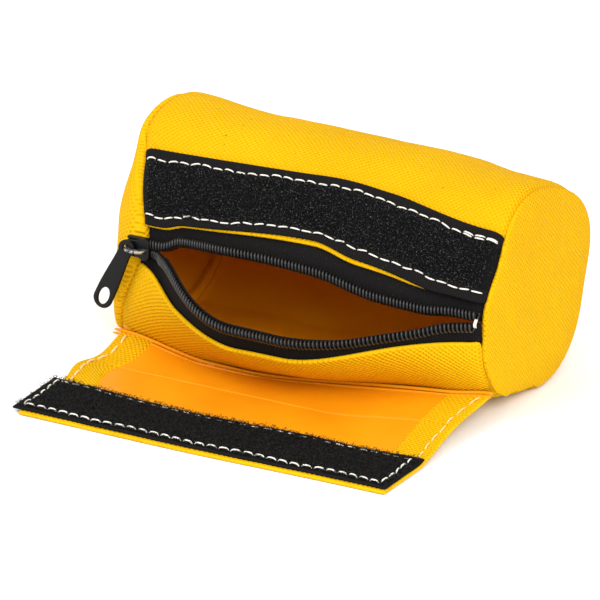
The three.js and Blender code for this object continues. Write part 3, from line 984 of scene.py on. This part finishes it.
def half_range(half, margin=0.0):
    """x limits of the left (-1) or right (1) half of the lip. The right one runs on under the left one."""
    if half < 0:
        return -HALF_LENGTH + margin, MOUTH_MIDDLE
    return MOUTH_MIDDLE - OVERLAP, HALF_LENGTH - margin


def tucked(x, half):
    """How far the right half dips so that it lies under the left one."""
    return TUCK * smooth((MOUTH_MIDDLE + 1.0 - x) / 1.5) if half > 0 else np.zeros_like(x)


def make_lip_half(half, word):
    x = spaced(*half_range(half), 1.5, half * HALF_LENGTH)
    t = np.linspace(-0.12, 1.0, 28)
    grid = lip_surface(x, t)
    spread = smooth((HALF_LENGTH - np.abs(x)) / 12.0)[:, None] * np.sin(np.pi * t)[None]
    folds = crumple(grid, 20, 4) * 0.9 * spread - tucked(x, half)[:, None]
    grid[..., 1] -= folds
    grid[..., 2] += folds * 0.5
    uv = cloth_uv(x, way_along(grid[len(x) // 2]))
    piece = thick_sheet(f"lower_front_{word}", grid, uv, CLOTH, [WOVEN, COATED], ("end_v",))
    return lip_blend(piece, half, "saffron_fabric", "lower_front_panel")


def make_lower_tape(half, word):
    x = spaced(*half_range(half, 0.4), 1.5)
    xs, shares = rows_and_columns(x, np.linspace(-0.22, 1.12, 9))
    grid = lip_tape(xs, shares)
    grid[..., 1] += tucked(xs, half)
    uv = np.stack([xs, shares * (LIP_ZIP[1] - LIP_TOP[1])], -1)
    piece = thick_sheet(f"lower_zip_tape_{word}", grid, uv, ZIP_TAPE, [TAPE, TAPE], LONG_SIDES)
    return lip_blend(piece, half, "black_tape", "zip_tape_lower")


def make_lower_coil(half, word):
    low, high = half_range(half, 2.0)
    x = coil_positions(max(low, MOUTH_MIDDLE) if half > 0 else low, high)
    up, out = turned_axes(x)
    path = coil_path(x + COIL_PITCH / 2, lower_coil_centre(x), up, out)
    piece = tubes(f"lower_coil_{word}", path[None], COIL_WIRE, ALONG_X, NYLON)
    return lip_blend(piece, half, "zip_coil", "zip_coil_lower")


def make_end_tack():
    """A few threads wound round both coils where the zip ends."""
    end = np.array([COIL_HIGH[0] + 1.2])
    top, low = upper_coil_centre(end)[0], lower_coil_centre(end)[0]
    turns = np.linspace(0.0, 1.0, 9)
    paths = []
    for strand in range(3):
        shift = np.array([1.6 + 0.4 * (strand - 1), -0.9, 0.0])
        bow = np.sin(math.pi * turns)[:, None] * -0.6 * ALONG_Y
        paths.append(low + (top - low) * (0.15 + 0.7 * turns)[:, None] + shift + bow)
    piece = tubes("end_tack_threads", np.array(paths), 0.17, ALONG_X, WHITE_THREAD)
    return finished(piece, "pouch_body", "white_thread", "zip_end_tack")


# --- Slider and pull ---

SLIDER_MIDDLE = (SLIDER_LOW + SLIDER_HIGH) / 2
PIVOT = np.array(JOINTS["pull_swing"]["pos_m"]) / MM
SLIDER_HALF_LENGTH = (SLIDER_HIGH[0] - SLIDER_LOW[0]) / 2
SLIDER_HALF_WIDTH = (SLIDER_HIGH[2] - SLIDER_LOW[2]) / 2
PULL_LENGTH = 25.0
PULL_TILT = math.radians(25.0)


def plate(name, outline, holes, thickness, edge, material):
    """A flat plate with rounded edges, drawn in (x, z) and facing -Y, from smooth closed outlines."""
    curve = bpy.data.curves.new(name, "CURVE")
    curve.dimensions = "2D"
    curve.fill_mode = "BOTH"
    curve.extrude = (thickness / 2 - edge) * MM
    curve.bevel_depth = edge * MM
    curve.bevel_resolution = 3
    for points in (outline, *holes):
        spline = curve.splines.new("POLY")
        spline.points.add(len(points) - 1)
        flat = [(x * MM, z * MM, 0.0, 1.0) for x, z in points]
        spline.points.foreach_set("co", np.array(flat).ravel())
        spline.use_cyclic_u = True
    drawn = linked(name, curve)
    drawn.rotation_euler = (math.pi / 2, 0.0, 0.0)
    bpy.context.view_layer.update()
    mesh = bpy.data.meshes.new_from_object(drawn.evaluated_get(bpy.context.evaluated_depsgraph_get()))
    mesh.transform(drawn.matrix_world)
    bpy.data.objects.remove(drawn)
    mesh.materials.clear()
    mesh.materials.append(material)
    return linked(name, mesh)


def arc_points(cx, cz, rx, rz, start, end, count):
    """Points along a stretch of an ellipse, between two angles."""
    turns = np.radians(np.linspace(start, end, count))
    return [(cx + rx * math.cos(t), cz + rz * math.sin(t)) for t in turns]


def merged(name, pieces):
    """Joins pieces into one mesh in the part's frame."""
    form = bmesh.new()
    materials = []
    for piece in pieces:
        bpy.context.view_layer.update()
        mesh = piece.data.copy()
        mesh.transform(piece.matrix_world)
        first = len(form.faces)
        form.from_mesh(mesh)
        form.faces.ensure_lookup_table()
        if piece.data.materials[0] not in materials:
            materials.append(piece.data.materials[0])
        for face in form.faces[first:]:
            face.material_index = materials.index(piece.data.materials[0])
            face.smooth = True
        bpy.data.objects.remove(piece)
    mesh = bpy.data.meshes.new(name)
    bmesh.ops.remove_doubles(form, verts=form.verts, dist=1e-7)
    form.to_mesh(mesh)
    form.free()
    for material in materials:
        mesh.materials.append(material)
    return linked(name, mesh)


def shield():
    """Half-open shield outline of the slider's plates, from its closed end round to its broad end."""
    half = SLIDER_HALF_LENGTH - 1.3
    broad = SLIDER_HALF_WIDTH - 0.9
    narrow = broad - 1.2
    lower = arc_points(-half + 1.2, -narrow + 1.2, 1.2, 1.2, 180, 270, 6)
    for x in np.linspace(-1.5, 3.0, 9):
        lower.append((x, -narrow - (broad - narrow) * float(rising(x, -1, 4))))
    lower += arc_points(half - 1.6, -broad + 1.6, 1.6, 1.6, 285, 360, 7)
    return lower + [(x, -z) for x, z in reversed(lower)]


def make_slider():
    """Two plates joined by flanges and a divider, with a bridge over the front one."""
    front, back = SLIDER_LOW[1], SLIDER_HIGH[1]
    face = PIVOT[1] + 1.0
    middle = SLIDER_MIDDLE[0]
    plates = []
    for name, y, thick in (("front_plate", face + 0.75, 1.5), ("back_plate", back - 0.6, 1.1)):
        piece = plate(name, shield(), (), thick, 0.45, ENAMEL)
        piece.location = Vector((middle, y, ZIP_HEIGHT)) * MM
        plates.append(piece)
    for side in (-1, 1):
        z = ZIP_HEIGHT + side * (SLIDER_HALF_WIDTH - 1.4)
        run = [(middle + dx, face + 1.9, z) for dx in np.linspace(-4.2, 4.0, 8)]
        plates.append(bar(f"flange_{side}", run, 1.0, 2.0, ALONG_Y, ENAMEL))
    post = [(middle + 3.4, y, ZIP_HEIGHT) for y in np.linspace(face + 0.5, back - 0.4, 4)]
    plates.append(bar("divider", post, 2.4, 1.6, ALONG_Z, ENAMEL))
    foot, rise = PIVOT[0] - middle, face - front
    arch = []
    for turn in np.radians(np.linspace(180.0, 0.0, 17)):
        wide = math.copysign(abs(math.cos(turn)) ** 0.6, math.cos(turn))
        arch.append((middle - foot * wide, face + 0.4 - rise * math.sin(turn) ** 0.6, ZIP_HEIGHT))
    plates.append(bar("bridge", arch, 2.2, 1.1, ALONG_Z, METAL))
    return finished(merged("zip_slider_casting", plates), "zip_slider", "black_enamel", "slider_body")


def make_pull():
    """Flat pull: a ring round the bridge's foot, a straight body that widens, and a large oval hole."""
    ring, neck, half = 2.7, 2.1, 3.2
    bottom = -PULL_LENGTH + half
    right = [(neck + (half - neck) * float(smooth(-z / 19.0)), z) for z in np.linspace(-3.0, bottom, 12)]
    outline = arc_points(0.0, 0.0, ring, ring, 215, -35, 18) + right
    outline += arc_points(0.0, bottom, half, half, 0, -180, 18)[1:-1] + [(-x, z) for x, z in reversed(right)]
    foot_hole = arc_points(0.0, 0.1, 1.6, 1.7, 0, 345, 24)
    oval_hole = arc_points(0.0, bottom + 1.1, 2.3, 3.9, 0, 350, 36)
    piece = plate("zip_pull_plate", outline, (foot_hole, oval_hole), 1.2, 0.36, ENAMEL)
    piece.rotation_euler = (0.0, PULL_TILT, 0.0)
    piece.location = Vector(PIVOT - 0.3 * ALONG_Y) * MM
    return finished(merged("zip_pull", [piece]), "zip_pull", "black_enamel", "pull_tab")


# --- Cover flap ---

FLAP_CLOTH = 0.7
HEM_LEFT = 12.8
HEM_RIGHT = 14.4
HEM_RISE = 0.5
FLAP_SPLIT = (HINGE[0] + BEND[0]) / 2
FLAP_BACK = SEAM[0] + 0.4
FRONT_HEM = FLAP_EDGE + 16.0


def flap_height(x, y):
    """Height of the flap's underside above the table."""
    lifted = rising(x, 10, 55)
    fall = (FLAP_BACK - y) / (20.0 + 24.0 * lifted)
    from_seam = smooth(fall) * (1.0 - lifted) + np.clip(fall, 0.0, 1.0) * lifted
    at_seam = SEAM[1] - 1.6 + seam_height(x)
    waves = 0.3 * (1.0 + np.sin(x / 13.0 + 0.8) * np.sin(y / 17.0)) * smooth((FLAP_BACK - y) / 14.0)
    left_lift = 1.0 * hump(y, -60, 9) * rising(-x, 56, 14)
    settled = (waves + left_lift) * smooth((y - FLAP_EDGE + 2.0) / 30.0)
    return at_seam * (1.0 - from_seam) + 0.1 + settled


def flap_place(x, y, proud):
    """Point over the flap, proud of its underside, with its wavy side edges."""
    left = rising(-x, 45, 25)
    right = rising(x, 40, 30)
    drift = 0.6 * left - left * 2.8 * hump(y, -61, 10)
    drift = drift - 3.0 * hump(x, -57.5, 8) * hump(y, -58, 10) - 1.3 * right * hump(y, -56, 14)
    drift = drift - right * (0.6 + (FLAP_BACK - y) / (FLAP_BACK - FLAP_EDGE))
    front = (0.5 * np.sin(x / 46.0 + 0.4) - 1.2 * hump(x, -5, 42)) * smooth((BEND[0] - y) / 30.0)
    front = front + corner_in(x) * smooth((y - SEAM[0] + 14.0) / 13.0)
    x, y, drift, front = np.broadcast_arrays(x, y, drift, front)
    return np.stack([x + drift, y + front, flap_height(x, y) + proud], -1)


def inside_hem(x):
    """Distance of a place on the flap from the side hem's inner edge, positive on the hem."""
    return np.maximum(-x - FLAP_HALF + HEM_LEFT, x - FLAP_HALF + HEM_RIGHT)


def make_flap_part(name, back, front, rounded, node, blend):
    """One length of the flap. The far one starts just under the near one's end."""
    hem_edges = HEM_LEFT - FLAP_HALF - 0.4, FLAP_HALF - HEM_RIGHT + 0.4
    x = spaced(-FLAP_HALF + 0.6, FLAP_HALF - 0.6, CLOTH_STEP, *hem_edges)
    xs, ys = rows_and_columns(x, np.linspace(back, front, round((back - front) / 1.3) + 1))
    step = np.maximum(smooth(inside_hem(xs) / 0.9), smooth((FRONT_HEM - ys) / 0.9))
    grid = flap_place(xs, ys, FLAP_CLOTH + HEM_RISE * step)
    grid[..., 2] += 0.18 * crumple(grid, 9, 9) * (1.0 - 0.6 * step)
    grid[..., 2] -= TUCK / 2 * smooth((ys - FLAP_SPLIT + 5.0) / 5.5) * (front < FLAP_SPLIT)
    middles = (xs[:-1, :-1] + xs[1:, 1:]) / 2, (ys[:-1, :-1] + ys[1:, 1:]) / 2
    woven = (inside_hem(middles[0]) > 0.0) | (middles[1] < FRONT_HEM)
    slots = np.where(woven, 0, 2)
    thickness = FLAP_CLOTH + HEM_RISE * step - 0.1
    uv = np.stack([xs, ys], -1)
    piece = thick_sheet(name, grid, uv, thickness, [WOVEN, WOVEN, COATED], rounded, slots, flip=True)
    return blended(piece, *blend, "saffron_fabric", node)


BASE_BLEND = ("pouch_body", "flap_base", (0, FLAP_BACK - 0.5, 0), (0, HINGE[0] - 9.0, 0))
TIP_BLEND = ("flap_base", "flap_tip", (0, BEND[0] + 6.5, 0), (0, BEND[0] - 6.5, 0))
LOOP_TAPE = 0.9
LOOP_PROUD = FLAP_CLOTH + HEM_RISE + LOOP_TAPE
LOOP_LEFT = -FLAP_HALF - 2.4
LOOP_RIGHT = FLAP_HALF - 1.0
LOOP_BACK = LOOP_HIGH[1] - 2.4
LOOP_FRONT = LOOP_LOW[1] - 3.6


def loop_bow(x, y):
    """The loop strip's rear edge bows forwards at its middle."""
    return y - 2.6 * hump(x, -8, 34) * (y - LOOP_FRONT) / (LOOP_BACK - LOOP_FRONT)


def make_loop_strip():
    x = spaced(LOOP_LEFT, LOOP_RIGHT, CLOTH_STEP, LOOP_LEFT, LOOP_RIGHT)
    xs, ys = rows_and_columns(x, np.linspace(LOOP_BACK, LOOP_FRONT, 24))
    edge = np.min([xs - LOOP_LEFT, LOOP_RIGHT - xs, LOOP_BACK - ys, ys - LOOP_FRONT], axis=0)
    grid = flap_place(xs, loop_bow(xs, ys), LOOP_PROUD + 0.5 * rising(edge, 1, 2.5))
    grid[..., 2] += 0.25 * crumple(grid, 6, 6)
    uv = np.stack([xs, ys], -1)
    slots = np.where(edge[:-1, :-1] > 1.2, 2, 0)
    piece = thick_sheet("loop_tape", grid, uv, LOOP_TAPE, [TAPE, TAPE, PILE], ALL_SIDES, slots, flip=True)
    return blended(piece, *TIP_BLEND, "black_tape", "loop_strip")


LOOP_FIBRES = 9000


def make_loop_pile():
    """Fine curled fibres all over the loop tape, longer at its left end and its rear edge."""
    count = LOOP_FIBRES
    x = rng.uniform(LOOP_LEFT + 0.5, LOOP_RIGHT - 0.5, count)
    y = rng.uniform(LOOP_FRONT + 0.6, LOOP_BACK - 0.4, count)
    at_edge = hump(x, LOOP_LEFT, 2.5) + 0.25 * hump(y, LOOP_BACK, 1.5)
    base = flap_place(x, loop_bow(x, y), LOOP_PROUD + 0.3)
    turn = rng.uniform(0.0, 2 * math.pi, count)
    reach = rng.uniform(0.35, 0.9, count) * (1 + at_edge)
    lie = np.stack([np.cos(turn), np.sin(turn), np.zeros(count)], -1) * reach[:, None]
    side = np.stack([-lie[:, 1], lie[:, 0], lie[:, 2]], -1) * rng.uniform(-0.6, 0.6, count)[:, None]
    tall = ALONG_Z * rng.uniform(0.5, 1.05, count)[:, None]
    paths = []
    for t in np.linspace(0, 1, 5):
        curl = side * math.sin(2.2 * t) + tall * math.sin(math.pi * t * 0.8)
        paths.append(base + lie * t * 1.6 + curl)
    piece = tubes("loop_pile", np.stack(paths, 1), 0.07, ODD_WAY, LOOP_FIBRE, sides=3)
    return blended(piece, *TIP_BLEND, "black_tape")


def up_normals(distances):
    return np.broadcast_to(ALONG_Z, (*np.shape(distances), 3))


def make_loop_stitching():
    inset = 3.0
    left, right = LOOP_LEFT + inset, LOOP_RIGHT - inset + 0.4
    front, back = LOOP_FRONT + inset * 0.6, LOOP_BACK - inset * 0.7
    corners = ((left, front), (right, front), (right, back), (left, back))
    rows = []
    for number, (start, end) in enumerate(zip(corners, corners[1:] + corners[:1])):
        start, end = np.array(start), np.array(end)
        length = float(np.linalg.norm(end - start))

        def place(distance, start=start, way=(end - start) / length, number=number):
            flat = start + way * distance[..., None]
            wander = 0.4 * np.sin(distance * 0.17 + number)
            sunk = 0.55 if number != 2 else -0.3
            x, y = flat[..., 0] + way[1] * wander, flat[..., 1] + way[0] * wander
            return flap_place(x, loop_bow(x, y), LOOP_PROUD + sunk)

        rows.append(stitches(f"loop_row_{number}", place, length, 0.5, up_normals))
    piece = merged("loop_tape_stitching", rows)
    return blended(piece, *TIP_BLEND, "white_thread", "loop_strip_stitching")


def make_hem_stitching(side, word, back, front, part, blend, *nodes):
    across = side * (FLAP_HALF - 3.3)

    def place(distance):
        y = back - distance
        x = across + 0.35 * np.sin(distance * 0.3 + side)
        return flap_place(x, y, FLAP_CLOTH + HEM_RISE)

    thick = 1.3 * THREAD if side < 0 else 0.9 * THREAD
    name = f"hem_stitching_{word}_{part}"
    piece = stitches(name, place, back - front, 0.3, up_normals, thick, 1.02, CREAM_THREAD)
    return blended(piece, *blend, "white_thread", *nodes)


def add_cloth_uv(piece):
    """Lays the weave along X, and down the seam."""
    mesh = piece.data
    layer = mesh.uv_layers.new(name="cloth")
    for loop in mesh.loops:
        co = mesh.vertices[loop.vertex_index].co / MM
        layer.data[loop.index].uv = (co.x, co.y + co.z)


def make_seam_folds():
    """Turned edges of the flap seam, which show as two thin rolls below the lower front panel."""
    x = np.linspace(-HALF_LENGTH - 3.0, HALF_LENGTH + 0.6, 110)
    rolls = []
    for number, (forward, drop, radius) in enumerate(((1.3, 0.2, 0.6), (2.6, 1.0, 0.5))):
        y = SEAM[0] + corner_in(x) - forward + 0.25 * np.sin(x / 9.0 + number)
        z = np.maximum(SEAM[1] + seam_height(x) - drop, radius + 0.2)
        path = np.stack([x, y, z], -1)
        ends = smooth((HALF_LENGTH + 3.2 - np.abs(x)) / 2.0)
        width = (radius * (0.4 + 0.6 * ends))[None]
        roll = tubes(f"roll_{number}", path[None], width, ALONG_Z, COATED, sides=10)
        add_cloth_uv(roll)
        rolls.append(roll)
    return finished(merged("flap_seam_folds", rolls), "pouch_body", "saffron_fabric")


def make_seam_thread():
    """Stitches of the flap seam, half sunk between its two turned edges."""

    def place(distance):
        x = -HALF_LENGTH + 2.0 + distance
        z = np.maximum(SEAM[1] + seam_height(x) - 1.4, 0.8)
        return np.stack([x, SEAM[0] + corner_in(x) - 1.5, z], -1)

    def out(distance):
        return np.broadcast_to(unit(np.array([0.0, -0.8, 0.6])), (*np.shape(distance), 3))

    piece = stitches("flap_seam_threads", place, 2 * HALF_LENGTH - 4.0, -0.15, out)
    return finished(piece, "pouch_body", "white_thread", "flap_seam_stitching")


# --- Room ---

CAMERA_AZIMUTH = 28.9
CAMERA_ELEVATION = 21.7
CAMERA_DISTANCE = 2.606
CAMERA_ROLL = 0.46
FRAME_WIDTH = 0.2016
AIM = Vector((-0.0126, -0.0145, 0.0213))


def make_camera():
    azimuth, elevation = math.radians(CAMERA_AZIMUTH), math.radians(CAMERA_ELEVATION)
    level = Vector((math.sin(azimuth), -math.cos(azimuth), 0.0))
    back = level * math.cos(elevation) + Vector((0.0, 0.0, math.sin(elevation)))
    data = bpy.data.cameras.new("camera")
    data.lens = data.sensor_width * CAMERA_DISTANCE / FRAME_WIDTH
    data.clip_end = 20.0
    camera = linked("camera", data)
    camera.location = AIM + back * CAMERA_DISTANCE
    camera.rotation_euler = back.to_track_quat("Z", "Y").to_euler()
    camera.rotation_euler.rotate_axis("Z", math.radians(CAMERA_ROLL))
    bpy.context.scene.camera = camera


def make_floor():
    surface = Surface("pale_floor", roughness=0.9, specular_ior_level=0.1)
    surface.colour(surface.noise(300.0), (0.3, grey(0.95)), (0.7, grey(0.97)))
    bpy.ops.mesh.primitive_plane_add(size=8.0)
    floor = bpy.context.active_object
    floor.name = "floor"
    floor.data.materials.append(surface.material)


def make_light(name, place, size, power):
    """A square lamp that shines at the part."""
    data = bpy.data.lights.new(name, "AREA")
    data.size = size
    data.energy = power
    light = linked(name, data)
    light.location = place
    light.rotation_euler = Vector(place).to_track_quat("Z", "Y").to_euler()


def make_room():
    scene = bpy.context.scene
    scene.view_settings.view_transform = "Standard"
    world = bpy.data.worlds.new("studio")
    world.use_nodes = True
    sky = world.node_tree.nodes["Background"].inputs
    sky["Color"].default_value = (*grey(1.0), 1.0)
    sky["Strength"].default_value = 1.0
    scene.world = world
    make_floor()
    make_light("key", (1.0, -0.9, 0.9), 0.8, 15.0)
    make_light("fill", (-0.6, -0.9, 1.2), 0.9, 10.0)


# --- Build ---

make_camera()
make_room()

main_panel = make_main_panel()
make_end_panel(-1, "end_cloth_left", "end_panel_left")
make_end_panel(1, "end_cloth_right", "end_panel_right")
make_hook_strip()
make_hooks()
make_hook_stitching("hook_stitches_low", 3.0, "hook_stitching_lower")
make_hook_stitching("hook_stitches_high", TAPE_WIDTH - 3.0, "hook_stitching_upper")
make_upper_zip_tape()
make_upper_coil()
for half, word in ((-1, "left"), (1, "right")):
    make_lip_half(half, word)
    make_lower_tape(half, word)
    make_lower_coil(half, word)
make_end_tack()
make_slider()
make_pull()

flap_sides = ("start_u", "end_u")
far_start = FLAP_SPLIT + OVERLAP
near_flap = make_flap_part("flap_near", FLAP_BACK, FLAP_SPLIT, flap_sides, "flap_lower", BASE_BLEND)
far_flap = make_flap_part("flap_far", far_start, FLAP_EDGE, (*flap_sides, "end_v"), "flap_upper", TIP_BLEND)
make_loop_strip()
make_loop_pile()
make_loop_stitching()
for side, word in ((-1, "left"), (1, "right")):
    node = f"flap_hem_stitching_{word}"
    make_hem_stitching(side, word, FLAP_BACK - 3.0, FLAP_SPLIT, "near", BASE_BLEND, node)
    make_hem_stitching(side, word, FLAP_SPLIT, LOOP_BACK + 0.5, "far", TIP_BLEND)
make_seam_folds()
make_seam_thread()

panel_length() * MM
